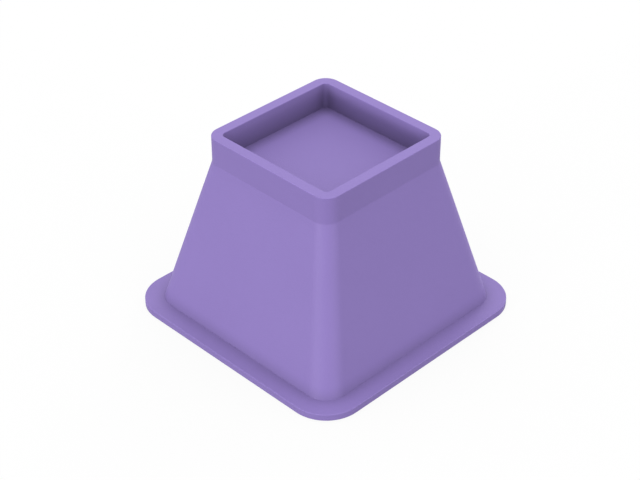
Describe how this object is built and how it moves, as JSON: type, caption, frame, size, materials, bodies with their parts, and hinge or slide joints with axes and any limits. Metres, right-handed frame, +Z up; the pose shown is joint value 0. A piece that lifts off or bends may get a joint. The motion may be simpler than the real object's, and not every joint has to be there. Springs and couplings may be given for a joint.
{
  "type": "bed riser",
  "caption": "Square tapered bed riser: a floor flange, a hollow ribbed body with round corners, and a collar with a square recess that holds a bed leg.",
  "frame": {"origin": "on the floor, under the middle of the recess", "axes": "+Z up along the middle of the recess; X and Y square to the sides of the flange"},
  "size_m": [0.127, 0.127, 0.0887],
  "materials": {
    "riser_plastic": "lavender moulded plastic, satin, with a fine even grain"
  },
  "bodies": {
    "root": {"riser": "riser_plastic"}
  },
  "joints": []
}
